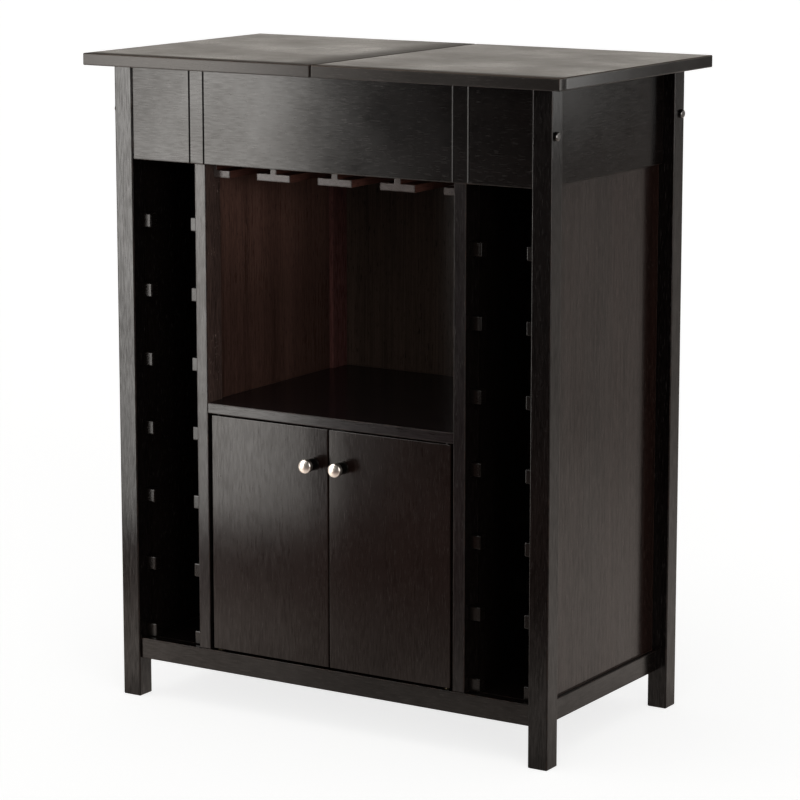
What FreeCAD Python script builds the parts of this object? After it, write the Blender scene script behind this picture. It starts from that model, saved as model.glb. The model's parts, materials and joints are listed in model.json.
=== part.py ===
import FreeCAD, Part
import Sketcher
import os

# Wine cabinet: a four-legged frame with a bottle bay on each side, an open display bay over a
# two-door cupboard between them, and a storage well under a top of two sliding leaves.
# +Z is up, the front faces -Y, and the origin is on the floor under the middle of the top.

doc = FreeCAD.newDocument("WineCabinet")

# Driving dimensions, in millimetres
driving = {
    # Top leaves
    "overallHeight": 940,
    "topWidth": 770,
    "topDepth": 440,
    "topThickness": 17,
    "leafGap": 2,
    "leafLift": 0.5,
    "leafEase": 1.5,
    "sideOverhang": 29,
    "frontOverhang": 34,
    "backOverhang": 28,
    # Legs
    "legWidth": 30,
    "legDepth": 29,
    "legEase": 2,
    # Aprons, rails and panels
    "apronHeight": 133,
    "apronThickness": 16,
    "apronSetback": 2.5,
    "grooveWidth": 3,
    "grooveSpacing": 24,
    "boardEase": 0.8,
    "sideSetback": 18,
    "panelRecess": 5.5,
    "panelThickness": 4.5,
    "railClearance": 57.5,
    "railHeight": 30,
    "railThickness": 18,
    "railSetback": 4.5,
    "sideRailDrop": 3,
    "backThickness": 4,
    "floorThickness": 12,
    "cleatSize": 15,
    "wellFloorThickness": 12,
    # Dividers and shelf
    "bayWidth": 407,
    "dividerThickness": 18.5,
    "stileSetback": 6,
    "frontStileDepth": 36,
    "rearStileDepth": 37.5,
    "shelfHeight": 449,
    "shelfThickness": 15,
    # Stemware rails
    "hangerWidth": 56,
    "hangerThickness": 10.5,
    "hangerStemWidth": 10,
    "hangerStemHeight": 10,
    "hangerSetback": 25.7,
    # Bottle blocks
    "rowPitch": 100.5,
    "blockHeight": 20,
    "blockDepth": 15,
    "blockLength": 17.5,
    "blockEase": 2,
    "blockSetback": 18,
    "blockSpacing": 168,
    # Doors
    "doorSideGap": 5.5,
    "doorMeetingGap": 2.2,
    "doorFloorGap": 2.5,
    "doorShelfGap": 2.5,
    "doorThickness": 16,
    "doorSetback": 7.5,
    "doorEase": 1,
    # Door pivots
    "pivotInset": 8,
    "pinDiameter": 6,
    "pinSeat": 20,
    "pinEndGap": 1,
    "bushDiameter": 10,
    "bushLength": 9,
    "runningClearance": 0.05,
    # Knobs and their screws
    "knobInset": 23.4,
    "knobDrop": 51,
    "knobBaseDiameter": 18.5,
    "knobBaseThickness": 2.5,
    "knobBaseEase": 0.5,
    "knobNeckLength": 16.5,
    "knobNeckDiameter": 17,
    "knobFaceDiameter": 10,
    "knobDome": 5,
    "knobBand": 4.8,
    "knobHeadEase": 1.2,
    "knobScrewGrip": 10,
    # Wood screws and knob screws
    "screwDiameter": 4,
    "screwHeadDiameter": 8,
    "screwHeadHeight": 2.5,
    "holeClearance": 0.2,
    # Connector bolts and barrel nuts
    "boltDiameter": 6,
    "boltHeadDiameter": 12.5,
    "boltHeadHeight": 4.5,
    "boltHeadEase": 2.5,
    "boltDrop": 63,
    "boltTip": 3,
    "nutDiameter": 10,
    "nutLength": 13,
    "nutSetback": 26,
    # Leaf tracks and runners
    "trackDepth": 18,
    "trackHeight": 24,
    "trackDrop": 4.5,
    "trackGrooveHeight": 9,
    "trackGrooveDepth": 10,
    "trackGap": 1,
    "tongueClearance": 0.4,
    "runnerInset": 9,
    "runnerLength": 140,
    "runnerWidth": 20,
    "runnerScrewGrip": 10,
    "screwSink": 6,
    # Magnetic catch and strike plates
    "catchWidth": 46,
    "catchDepth": 16,
    "catchHeight": 13,
    "catchGap": 0.3,
    "strikeWidth": 17,
    "strikeHeight": 15,
    "strikeThickness": 1.5,
    "strikeInset": 3,
    # Length by which every cutting tool runs past the face that it enters
    "overrun": 1,
}
runner_screw_shares = (0.2, 0.8)

sheet = doc.addObject("Spreadsheet::Sheet", "Sizes")
for row, (alias, value) in enumerate(driving.items(), 1):
    sheet.set(f"A{row}", alias)
    sheet.set(f"B{row}", str(value))
    sheet.setAlias(f"B{row}", alias)
doc.recompute()

# Every finished sub-part, by the name of its node
nodes = {}


def finished(label, piece):
    piece.Label = label
    nodes[label] = piece
    return piece


def place(piece, x="0", y="0", z="0"):
    piece.setExpression("Placement.Base.x", x)
    piece.setExpression("Placement.Base.y", y)
    piece.setExpression("Placement.Base.z", z)
    return piece


def sketch_outline(body, plane, outline):
    """A closed polygon on one of the body's origin planes, each corner bound to the sheet."""
    sketch = body.newObject("Sketcher::SketchObject", body.Name + "_outline")
    support = next(item for item in body.Origin.OriginFeatures if item.Role == plane)
    sketch.AttachmentSupport = [(support, "")]
    sketch.MapMode = "FlatFace"
    start = [FreeCAD.Vector(index, index * index, 0) for index in range(len(outline))]
    for index, point in enumerate(start):
        sketch.addGeometry(Part.LineSegment(point, start[(index + 1) % len(start)]))
    for index in range(len(outline)):
        following = (index + 1) % len(outline)
        sketch.addConstraint(Sketcher.Constraint("Coincident", index, 2, following, 1))
    for index, (across, along) in enumerate(outline):
        for kind, expression in (("DistanceX", across), ("DistanceY", along)):
            datum = 1.0
            number = sketch.addConstraint(Sketcher.Constraint(kind, -1, 1, index, 1, datum))
            sketch.setExpression(f"Constraints[{number}]", expression)
    return sketch


def round_edges(body, radius, edges=None):
    """Rounds the chosen edges of the body's last feature, or all of them."""
    base = body.Tip
    rounding = body.newObject("PartDesign::Fillet", body.Name + "_eased")
    rounding.Base = (base, edges or [""])
    rounding.UseAllEdges = edges is None
    rounding.setExpression("Radius", radius)
    body.Tip = rounding


def prism(name, plane, outline, length, ease=None):
    """A board or moulding: an outline drawn on a plane and padded towards the plane's positive side."""
    body = doc.addObject("PartDesign::Body", name)
    sketch = sketch_outline(body, plane, outline)
    pad = body.newObject("PartDesign::Pad", name + "_length")
    pad.Profile = sketch
    pad.Reversed = plane == "XZ_Plane"
    pad.setExpression("Length", length)
    if ease:
        doc.recompute()
        round_edges(body, ease)
    return body


def rectangle(width, height):
    return [("0", "0"), (width, "0"), (width, height), ("0", height)]


def board(name, x, y, z, ease=None):
    """A rectangular board between two places on each axis."""
    low, high = zip(x, y, z)
    width, depth, height = (f"{far} - ({near})" for near, far in zip(low, high))
    return place(prism(name, "XY_Plane", rectangle(width, depth), height, ease), *low)


def mirrored(outline, width):
    return [(f"{width} - ({across})", along) for across, along in reversed(outline)]


def turned(name, outline):
    """A round piece: a half outline of radius and height, turned about its own Z axis."""
    body = doc.addObject("PartDesign::Body", name)
    sketch = sketch_outline(body, "XZ_Plane", outline)
    turning = body.newObject("PartDesign::Revolution", name + "_turning")
    turning.Profile = sketch
    turning.ReferenceAxis = (sketch, ["V_Axis"])
    doc.recompute()
    return body


def rim(body, height):
    """Name of the widest circle of a turned body at a height above its own origin."""
    close = FreeCAD.Base.Precision.confusion()
    found = []
    for number, edge in enumerate(body.Tip.Shape.Edges, 1):
        box = edge.BoundBox
        if edge.Closed and box.ZLength < close and abs(box.Center.z - height) < close:
            found.append((edge.Length, f"Edge{number}"))
    return [max(found)[1]]


# Turns that lay a piece's own Z axis along another direction
towards = {
    "+x": FreeCAD.Rotation(FreeCAD.Vector(0, 1, 0), 90),
    "-x": FreeCAD.Rotation(FreeCAD.Vector(0, 1, 0), -90),
    "+y": FreeCAD.Rotation(FreeCAD.Vector(1, 0, 0), -90),
    "-y": FreeCAD.Rotation(FreeCAD.Vector(1, 0, 0), 90),
    "+z": FreeCAD.Rotation(),
    "-z": FreeCAD.Rotation(FreeCAD.Vector(1, 0, 0), 180),
}


def aim(piece, direction, x, y, z):
    piece.Placement = FreeCAD.Placement(FreeCAD.Vector(), towards[direction])
    return place(piece, x, y, z)


def rod(name, diameter, length, direction, x, y, z):
    piece = doc.addObject("Part::Cylinder", name)
    piece.setExpression("Radius", f"{diameter} / 2")
    piece.setExpression("Height", length)
    return aim(piece, direction, x, y, z)


def drill(name, diameter, depth, direction, x, y, z):
    """A hole's cutting tool: it starts the overrun before the face at x, y, z and ends at its depth."""
    axis = direction[1]
    before = "-" if direction[0] == "+" else "+"
    start = {"x": x, "y": y, "z": z}
    start[axis] = f"{start[axis]} {before} Sizes.overrun"
    return rod(name, diameter, f"{depth} + Sizes.overrun", direction, **start)


def group(name, pieces):
    together = doc.addObject("Part::Compound", name)
    together.Links = pieces
    return together


def cut(name, base, tools):
    result = doc.addObject("Part::Cut", name)
    result.Base = base
    result.Tool = group(name + "_tools", tools)
    return result


def span(side, near, far):
    """Low and high X of a piece whose faces lie near and far from the middle, on one side."""
    return (near, far) if side > 0 else (f"-{far}", f"-{near}")


def on_side(side, x):
    return x if side > 0 else f"-{x}"


sides = (("left", -1), ("right", 1))

# Levels
leaf_underside = "(Sizes.overallHeight - Sizes.topThickness)"
frame_top = f"({leaf_underside} - Sizes.leafLift)"
apron_underside = f"({frame_top} - Sizes.apronHeight)"
rail_underside = "(Sizes.railClearance)"
floor_top = f"({rail_underside} + Sizes.railHeight)"
floor_underside = f"({floor_top} - Sizes.floorThickness)"
side_rail_underside = f"({rail_underside} - Sizes.sideRailDrop)"
side_rail_top = f"({floor_top} - Sizes.sideRailDrop)"
shelf_top = "(Sizes.shelfHeight)"
shelf_underside = f"({shelf_top} - Sizes.shelfThickness)"
door_bottom = f"({floor_top} + Sizes.doorFloorGap)"
door_top = f"({shelf_underside} - Sizes.doorShelfGap)"

# Faces across the width, measured from the middle
leg_outer = "(Sizes.topWidth / 2 - Sizes.sideOverhang)"
leg_inner = f"({leg_outer} - Sizes.legWidth)"
side_outer = f"({leg_outer} - Sizes.sideSetback)"
side_panel_outer = f"({side_outer} - Sizes.panelRecess)"
side_panel_inner = f"({side_panel_outer} - Sizes.panelThickness)"
divider_inner = "(Sizes.bayWidth / 2)"
divider_outer = f"({divider_inner} + Sizes.dividerThickness)"
divider_middle = f"({divider_inner} + Sizes.dividerThickness / 2)"
divider_panel_inner = f"({divider_middle} - Sizes.panelThickness / 2)"
divider_panel_outer = f"({divider_middle} + Sizes.panelThickness / 2)"
door_outer = f"({divider_inner} - Sizes.doorSideGap)"
door_meeting = "(Sizes.doorMeetingGap / 2)"
pivot_x = f"({door_outer} - Sizes.pivotInset)"
knob_x = f"({door_meeting} + Sizes.knobInset)"

# Faces from front to back
leg_front = "(Sizes.frontOverhang - Sizes.topDepth / 2)"
leg_back = "(Sizes.topDepth / 2 - Sizes.backOverhang)"
front_leg_back = f"({leg_front} + Sizes.legDepth)"
rear_leg_front = f"({leg_back} - Sizes.legDepth)"
front_apron_face = f"({leg_front} + Sizes.apronSetback)"
front_apron_inner = f"({front_apron_face} + Sizes.apronThickness)"
rear_apron_face = f"({leg_back} - Sizes.apronSetback)"
rear_apron_inner = f"({rear_apron_face} - Sizes.apronThickness)"
front_rail_face = f"({leg_front} + Sizes.railSetback)"
front_rail_inner = f"({front_rail_face} + Sizes.railThickness)"
rear_rail_face = f"({leg_back} - Sizes.railSetback)"
rear_rail_inner = f"({rear_rail_face} - Sizes.railThickness)"
back_inner = f"({rear_rail_face} - Sizes.backThickness)"
stile_front = f"({leg_front} + Sizes.stileSetback)"
front_stile_back = f"({stile_front} + Sizes.frontStileDepth)"
rear_stile_front = f"({back_inner} - Sizes.rearStileDepth)"
door_face = f"({leg_front} + Sizes.doorSetback)"
door_back = f"({door_face} + Sizes.doorThickness)"
pivot_y = f"({door_face} + Sizes.doorThickness / 2)"

# Legs: posts with rounded edges and a hole for the connector bolt
bolt_z = f"({frame_top} - Sizes.boltDrop)"
bolt_hole = "(Sizes.boltDiameter + 2 * Sizes.holeClearance)"
leg_rows = (
    ("front", leg_front, f"({front_apron_face} + Sizes.apronThickness / 2)"),
    ("rear", rear_leg_front, f"({rear_apron_face} - Sizes.apronThickness / 2)"),
)


for row_name, leg_y, bolt_y in leg_rows:
    for side_name, side in sides:
        label = f"{row_name}_{side_name}_leg"
        post = board(label + "_post", span(side, leg_inner, leg_outer), (leg_y, f"{leg_y} + Sizes.legDepth"),
                     ("0", frame_top), "Sizes.legEase")
        inward = "-x" if side > 0 else "+x"
        hole = drill(label + "_hole", bolt_hole, "Sizes.legWidth + Sizes.overrun", inward,
                     on_side(side, leg_outer), bolt_y, bolt_z)
        finished(label, cut(label, post, [hole]))

# Front and rear aprons: bolt holes in both ends, crossed by the barrel nuts' holes from inside
nut_hole = "(Sizes.nutDiameter + 2 * Sizes.holeClearance)"
nut_x = f"({leg_inner} - Sizes.nutSetback)"
bolt_grip = "(Sizes.nutSetback + Sizes.nutDiameter / 2 + Sizes.boltTip)"
apron_rows = (
    ("front", (front_apron_face, front_apron_inner), front_apron_inner, "-y", leg_rows[0][2]),
    ("rear", (rear_apron_inner, rear_apron_face), rear_apron_inner, "+y", leg_rows[1][2]),
)


def groove_tool(name, x):
    """A square bar turned on edge, whose corner leaves a V as wide as the groove in the front apron."""
    bar = doc.addObject("Part::Box", name)
    bar.setExpression("Length", "Sizes.grooveWidth / sqrt(2)")
    bar.setExpression("Width", "Sizes.grooveWidth / sqrt(2)")
    bar.setExpression("Height", "Sizes.apronHeight + 2 * Sizes.overrun")
    bar.Placement = FreeCAD.Placement(FreeCAD.Vector(), FreeCAD.Rotation(FreeCAD.Vector(0, 0, 1), 45))
    return place(bar, x, f"{front_apron_face} - Sizes.grooveWidth / 2", f"{apron_underside} - Sizes.overrun")


for row_name, apron_y, inner_face, outward, bolt_y in apron_rows:
    label = f"{row_name}_apron"
    blank = board(label + "_board", (f"-{leg_inner}", leg_inner), apron_y, (apron_underside, frame_top),
                  "Sizes.boardEase")
    tools = []
    for side_name, side in sides:
        inward = "-x" if side > 0 else "+x"
        tools.append(drill(f"{label}_{side_name}_bolt_hole", bolt_hole, bolt_grip, inward,
                           on_side(side, leg_inner), bolt_y, bolt_z))
        tools.append(drill(f"{label}_{side_name}_nut_hole", nut_hole, "Sizes.nutLength", outward,
                           on_side(side, nut_x), inner_face, bolt_z))
        if row_name == "front":
            tools.append(groove_tool(f"{side_name}_inner_groove", on_side(side, divider_inner)))
            outer_groove = f"({divider_inner} + Sizes.grooveSpacing)"
            tools.append(groove_tool(f"{side_name}_outer_groove", on_side(side, outer_groove)))
    finished(label, cut(label, blank, tools))

# Side aprons, side rails and side panels between the legs
for side_name, side in sides:
    between_legs = (front_leg_back, rear_leg_front)
    frame_x = span(side, leg_inner, side_outer)
    panel_x = span(side, side_panel_inner, side_panel_outer)
    for label, x, z, ease in (
        (f"{side_name}_side_apron", frame_x, (apron_underside, frame_top), "Sizes.boardEase"),
        (f"{side_name}_bottom_rail", frame_x, (side_rail_underside, side_rail_top), "Sizes.boardEase"),
        (f"{side_name}_side_panel", panel_x, (side_rail_top, apron_underside), None),
    ):
        finished(label, board(label, x, between_legs, z, ease))

# Front and rear bottom rails, the floor panel on its cleats, the back panel and the well floor
between_legs_x = (f"-{leg_inner}", leg_inner)
front_rail = board("front_rail_board", between_legs_x, (front_rail_face, front_rail_inner),
                   (rail_underside, floor_top), "Sizes.boardEase")
finished("rear_bottom_rail", board("rear_bottom_rail", between_legs_x, (rear_rail_inner, rear_rail_face),
                                   (rail_underside, floor_top), "Sizes.boardEase"))
finished("floor_panel", board("floor_panel", between_legs_x, (front_rail_inner, rear_rail_inner),
                              (floor_underside, floor_top)))
cleat_z = (f"{floor_underside} - Sizes.cleatSize", floor_underside)
front_cleat = board("front_cleat", between_legs_x,
                    (front_rail_inner, f"{front_rail_inner} + Sizes.cleatSize"), cleat_z)
rear_cleat = board("rear_cleat", between_legs_x,
                   (f"{rear_rail_inner} - Sizes.cleatSize", rear_rail_inner), cleat_z)
finished("floor_cleats", group("floor_cleats", [front_cleat, rear_cleat]))
finished("back_panel", board("back_panel", between_legs_x, (back_inner, rear_rail_face),
                             (floor_top, apron_underside)))
well_floor_z = (apron_underside, f"{apron_underside} + Sizes.wellFloorThickness")
finished("well_floor", board("well_floor", between_legs_x, (front_apron_inner, rear_apron_inner),
                             well_floor_z))

# Dividers: a front and a rear stile with a thin panel between them
for side_name, side in sides:
    stile_x = span(side, divider_inner, divider_outer)
    panel_x = span(side, divider_panel_inner, divider_panel_outer)
    standing = (floor_top, apron_underside)
    for piece, x, y, ease in (
        ("front_stile", stile_x, (stile_front, front_stile_back), "Sizes.boardEase"),
        ("rear_stile", stile_x, (rear_stile_front, back_inner), "Sizes.boardEase"),
        ("divider_panel", panel_x, (front_stile_back, rear_stile_front), None),
    ):
        label = f"{side_name}_{piece}"
        finished(label, board(label, x, y, standing, ease))

# Display shelf, notched round the four stiles, with blind holes below for the pivot bushes
shelf_half = divider_panel_inner
notch = f"({divider_panel_inner} - {divider_inner})"
shelf_width = f"2 * {shelf_half}"
shelf_depth = f"{back_inner} - {stile_front}"
shelf_outline = [
    (notch, "0"),
    (f"{shelf_width} - {notch}", "0"),
    (f"{shelf_width} - {notch}", "Sizes.frontStileDepth"),
    (shelf_width, "Sizes.frontStileDepth"),
    (shelf_width, f"{shelf_depth} - Sizes.rearStileDepth"),
    (f"{shelf_width} - {notch}", f"{shelf_depth} - Sizes.rearStileDepth"),
    (f"{shelf_width} - {notch}", shelf_depth),
    (notch, shelf_depth),
    (notch, f"{shelf_depth} - Sizes.rearStileDepth"),
    ("0", f"{shelf_depth} - Sizes.rearStileDepth"),
    ("0", "Sizes.frontStileDepth"),
    (notch, "Sizes.frontStileDepth"),
]
shelf_board = prism("shelf_board", "XY_Plane", shelf_outline, "Sizes.shelfThickness", "Sizes.boardEase")
place(shelf_board, f"-{shelf_half}", stile_front, shelf_underside)
bush_hole = "(Sizes.bushDiameter + 2 * Sizes.runningClearance)"
shelf_holes = []
rail_holes = []
for side_name, side in sides:
    at = on_side(side, pivot_x)
    shelf_holes.append(drill(f"{side_name}_shelf_bush_hole", bush_hole, "Sizes.bushLength", "+z",
                             at, pivot_y, shelf_underside))
    rail_holes.append(drill(f"{side_name}_rail_bush_hole", bush_hole, "Sizes.bushLength", "-z",
                            at, pivot_y, floor_top))
finished("display_shelf", cut("display_shelf", shelf_board, shelf_holes))
finished("front_bottom_rail", cut("front_bottom_rail", front_rail, rail_holes))

# Stemware rails: T-shaped mouldings under the well floor, and a half one at each divider
half_width = "(Sizes.hangerWidth / 2)"
half_stem = "(Sizes.hangerStemWidth / 2)"
hanger_height = "(Sizes.hangerThickness + Sizes.hangerStemHeight)"
half_outline = [
    ("0", "0"),
    (half_width, "0"),
    (half_width, "Sizes.hangerThickness"),
    (half_stem, "Sizes.hangerThickness"),
    (half_stem, hanger_height),
    ("0", hanger_height),
]
whole_outline = [(f"{half_width} + {across}", along) for across, along in half_outline[1:5]]
whole_outline += mirrored(whole_outline, "Sizes.hangerWidth")
hanger_front = f"({leg_front} + Sizes.hangerSetback)"
hanger_rows = (
    ("left_half_stemware_rail", half_outline, f"-{divider_inner}"),
    ("left_stemware_rail", whole_outline, f"-Sizes.bayWidth / 4 - {half_width}"),
    ("centre_stemware_rail", whole_outline, f"-{half_width}"),
    ("right_stemware_rail", whole_outline, f"Sizes.bayWidth / 4 - {half_width}"),
    ("right_half_stemware_rail", mirrored(half_outline, half_width), f"{divider_inner} - {half_width}"),
)
for label, outline, x in hanger_rows:
    rail = prism(label, "XZ_Plane", outline, f"{back_inner} - {hanger_front}", "Sizes.boardEase")
    finished(label, place(rail, x, hanger_front, f"{apron_underside} - {hanger_height}"))

# Bottle blocks: on each wall of each bay, a column near the front and one further back.
# The front ones sit on a leg or a stile, the ones behind on the thin panels.
front_block_y = f"({leg_front} + Sizes.blockSetback)"
rear_block_y = f"({front_block_y} + Sizes.blockSpacing)"
wall_reach = f"({leg_inner} - Sizes.blockLength)"
divider_reach = f"({divider_outer} + Sizes.blockLength)"
row_count = f"floor(({apron_underside} - {floor_top} - Sizes.blockHeight) / Sizes.rowPitch) + 1"


def block_column(name, x, y):
    column = board(name, x, (y, f"{y} + Sizes.blockDepth"), (floor_top, f"{floor_top} + Sizes.blockHeight"),
                   "Sizes.blockEase")
    doc.recompute()
    pattern = column.newObject("PartDesign::LinearPattern", name + "_rows")
    pattern.TransformMode = "Whole shape"
    outline = next(item for item in column.Group if item.TypeId == "Sketcher::SketchObject")
    pattern.Direction = (outline, ["N_Axis"])
    pattern.Mode = "Spacing"
    pattern.setExpression("Offset", "Sizes.rowPitch")
    pattern.setExpression("Occurrences", row_count)
    column.Tip = pattern
    return column


for side_name, side in sides:
    for wall, front_x, rear_x in (
        ("outer", (wall_reach, leg_inner), (wall_reach, side_panel_inner)),
        ("inner", (divider_outer, divider_reach), (divider_panel_outer, divider_reach)),
    ):
        label = f"{side_name}_bay_{wall}_blocks"
        columns = [
            block_column(label + "_front", span(side, *front_x), front_block_y),
            block_column(label + "_behind", span(side, *rear_x), rear_block_y),
        ]
        finished(label, group(label, columns))

# Connector bolts through the legs into the aprons, and the barrel nuts that they draw up to
bolt_reach = f"(Sizes.legWidth + {bolt_grip} - Sizes.holeClearance)"
bolt_outline = [
    ("0", f"-{bolt_reach}"),
    ("Sizes.boltDiameter / 2", f"-{bolt_reach}"),
    ("Sizes.boltDiameter / 2", "0"),
    ("Sizes.boltHeadDiameter / 2", "0"),
    ("Sizes.boltHeadDiameter / 2", "Sizes.boltHeadHeight"),
    ("0", "Sizes.boltHeadHeight"),
]
bolts = []
nuts = []
for row_name, apron_y, inner_face, outward, bolt_y in apron_rows:
    for side_name, side in sides:
        name = f"{row_name}_{side_name}"
        bolt = turned(name + "_bolt", bolt_outline)
        round_edges(bolt, "Sizes.boltHeadEase", rim(bolt, sheet.boltHeadHeight))
        bolts.append(aim(bolt, "+x" if side > 0 else "-x", on_side(side, leg_outer), bolt_y, bolt_z))
        barrel = rod(name + "_barrel", "Sizes.nutDiameter", "Sizes.nutLength", outward,
                     on_side(side, nut_x), inner_face, bolt_z)
        inward = "-x" if side > 0 else "+x"
        thread = drill(name + "_thread", bolt_hole, "Sizes.nutDiameter + Sizes.overrun", inward,
                       on_side(side, f"({nut_x} + Sizes.nutDiameter / 2)"), bolt_y, bolt_z)
        nuts.append(cut(name + "_nut", barrel, [thread]))
finished("connector_bolts", group("connector_bolts", bolts))
finished("barrel_nuts", group("barrel_nuts", nuts))

# Leaf tracks: grooved battens on the inner faces of the front and rear aprons
track_top = f"({frame_top} - Sizes.trackDrop)"
track_bottom = f"({track_top} - Sizes.trackHeight)"
track_middle = f"({track_top} - Sizes.trackHeight / 2)"
lip = "((Sizes.trackHeight - Sizes.trackGrooveHeight) / 2)"
groove_floor = "(Sizes.trackDepth - Sizes.trackGrooveDepth)"
track_outline = [
    ("0", "0"),
    ("Sizes.trackDepth", "0"),
    ("Sizes.trackDepth", lip),
    (groove_floor, lip),
    (groove_floor, f"{lip} + Sizes.trackGrooveHeight"),
    ("Sizes.trackDepth", f"{lip} + Sizes.trackGrooveHeight"),
    ("Sizes.trackDepth", "Sizes.trackHeight"),
    ("0", "Sizes.trackHeight"),
]
track_rows = (
    ("front_track", track_outline, front_apron_inner),
    ("rear_track", mirrored(track_outline, "Sizes.trackDepth"), f"({rear_apron_inner} - Sizes.trackDepth)"),
)
for label, outline, y in track_rows:
    track = prism(label, "YZ_Plane", outline, f"2 * {leg_inner}")
    finished(label, place(track, f"-{leg_inner}", y, track_bottom))

# Leaf runners: battens under the leaves with a tongue in the track's groove, held by screws from below
runner_bottom = track_bottom
runner_height = f"({leaf_underside} - {runner_bottom})"
tongue_length = "(Sizes.trackGrooveDepth + Sizes.trackGap - Sizes.tongueClearance)"
tongue_half = "(Sizes.trackGrooveHeight / 2 - Sizes.tongueClearance)"
tongue_low = f"({track_middle} - {runner_bottom} - {tongue_half})"
tongue_high = f"({track_middle} - {runner_bottom} + {tongue_half})"
runner_reach = f"({tongue_length} + Sizes.runnerWidth)"
runner_outline = [
    (tongue_length, "0"),
    (runner_reach, "0"),
    (runner_reach, runner_height),
    (tongue_length, runner_height),
    (tongue_length, tongue_high),
    ("0", tongue_high),
    ("0", tongue_low),
    (tongue_length, tongue_low),
]
front_runner_y = f"({front_apron_inner} + Sizes.trackDepth + Sizes.trackGap - {tongue_length})"
rear_runner_y = f"({rear_apron_inner} - Sizes.trackDepth - Sizes.trackGap - Sizes.runnerWidth)"
front_screw_y = f"({front_runner_y} + {tongue_length} + Sizes.runnerWidth / 2)"
rear_screw_y = f"({rear_runner_y} + Sizes.runnerWidth / 2)"
runner_rows = (
    ("front", runner_outline, front_runner_y, front_screw_y),
    ("rear", mirrored(runner_outline, runner_reach), rear_runner_y, rear_screw_y),
)
leaf_meeting = "(Sizes.leafGap / 2)"
runner_near = f"({leaf_meeting} + Sizes.runnerInset)"
runner_far = f"({runner_near} + Sizes.runnerLength)"
screw_hole = "(Sizes.screwDiameter + 2 * Sizes.holeClearance)"
screw_head_hole = "(Sizes.screwHeadDiameter + 2 * Sizes.holeClearance)"
pilot_depth = "(Sizes.runnerScrewGrip + Sizes.holeClearance)"
runner_screw_length = f"({runner_height} - Sizes.screwSink + Sizes.runnerScrewGrip)"


def screw_outline(length):
    """A pan-headed screw that stands on its head, with its tip up."""
    return [
        ("0", "-Sizes.screwHeadHeight"),
        ("Sizes.screwHeadDiameter / 2", "-Sizes.screwHeadHeight"),
        ("Sizes.screwHeadDiameter / 2", "0"),
        ("Sizes.screwDiameter / 2", "0"),
        ("Sizes.screwDiameter / 2", length),
        ("0", length),
    ]


for side_name, side in sides:
    leaf_name = f"{side_name}_top_leaf"
    leaf_x = span(side, leaf_meeting, "(Sizes.topWidth / 2)")
    leaf_board = board(leaf_name + "_board", leaf_x, ("-Sizes.topDepth / 2", "Sizes.topDepth / 2"),
                       (leaf_underside, "Sizes.overallHeight"), "Sizes.leafEase")
    runner_x = span(side, runner_near, runner_far)[0]
    leaf_holes = []
    screws = []
    for row_name, outline, y, screw_y in runner_rows:
        label = f"{side_name}_leaf_{row_name}_runner"
        batten = place(prism(label + "_batten", "YZ_Plane", outline, "Sizes.runnerLength"),
                       runner_x, y, runner_bottom)
        runner_holes = []
        for number, share in enumerate(runner_screw_shares, 1):
            name = f"{label}_screw_{number}"
            x = f"{runner_x} + Sizes.runnerLength * {share}"
            runner_holes.append(drill(name + "_hole", screw_hole, f"{runner_height} + Sizes.overrun", "+z",
                                      x, screw_y, runner_bottom))
            runner_holes.append(drill(name + "_sink", screw_head_hole, "Sizes.screwSink", "+z",
                                      x, screw_y, runner_bottom))
            leaf_holes.append(drill(name + "_pilot", screw_hole, pilot_depth, "+z",
                                    x, screw_y, leaf_underside))
            screws.append(place(turned(name, screw_outline(runner_screw_length)), x, screw_y,
                                f"{runner_bottom} + Sizes.screwSink"))
        fused_tools = doc.addObject("Part::MultiFuse", label + "_drills")
        fused_tools.Shapes = runner_holes
        finished(label, cut(label, batten, [fused_tools]))
    finished(leaf_name, cut(leaf_name, leaf_board, leaf_holes))
    screw_label = f"{side_name}_runner_screws"
    finished(screw_label, group(screw_label, screws))

# Doors: plain slabs on two pivot pins each, with a knob held by a screw from inside
pin_hole = "(Sizes.pinDiameter + 2 * Sizes.runningClearance)"
knob_z = f"({door_top} - Sizes.knobDrop)"
knob_head = "(Sizes.knobFaceDiameter / 2 + Sizes.knobDome)"
knob_length = "(Sizes.knobNeckLength + Sizes.knobHeadEase + Sizes.knobBand + Sizes.knobDome)"
knob_bore = "(Sizes.screwDiameter / 2 + Sizes.holeClearance)"
bore_depth = "(Sizes.knobScrewGrip + Sizes.holeClearance)"
pin_reach = "(Sizes.bushLength - Sizes.pinEndGap)"
top_pin_length = f"Sizes.pinSeat + Sizes.doorShelfGap + {pin_reach}"
bottom_pin_length = f"Sizes.pinSeat + Sizes.doorFloorGap + {pin_reach}"
knob_outline = [
    (knob_bore, "0"),
    ("Sizes.knobBaseDiameter / 2", "0"),
    ("Sizes.knobBaseDiameter / 2", "Sizes.knobBaseThickness"),
    ("Sizes.knobNeckDiameter / 2", "Sizes.knobBaseThickness"),
    ("Sizes.knobNeckDiameter / 2", "Sizes.knobNeckLength"),
    (knob_head, "Sizes.knobNeckLength"),
    (knob_head, knob_length),
    ("0", knob_length),
    ("0", bore_depth),
    (knob_bore, bore_depth),
]
bush_outline = [
    (f"{pin_hole} / 2", "0"),
    ("Sizes.bushDiameter / 2", "0"),
    ("Sizes.bushDiameter / 2", "Sizes.bushLength"),
    (f"{pin_hole} / 2", "Sizes.bushLength"),
]
bushes = []
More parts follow.
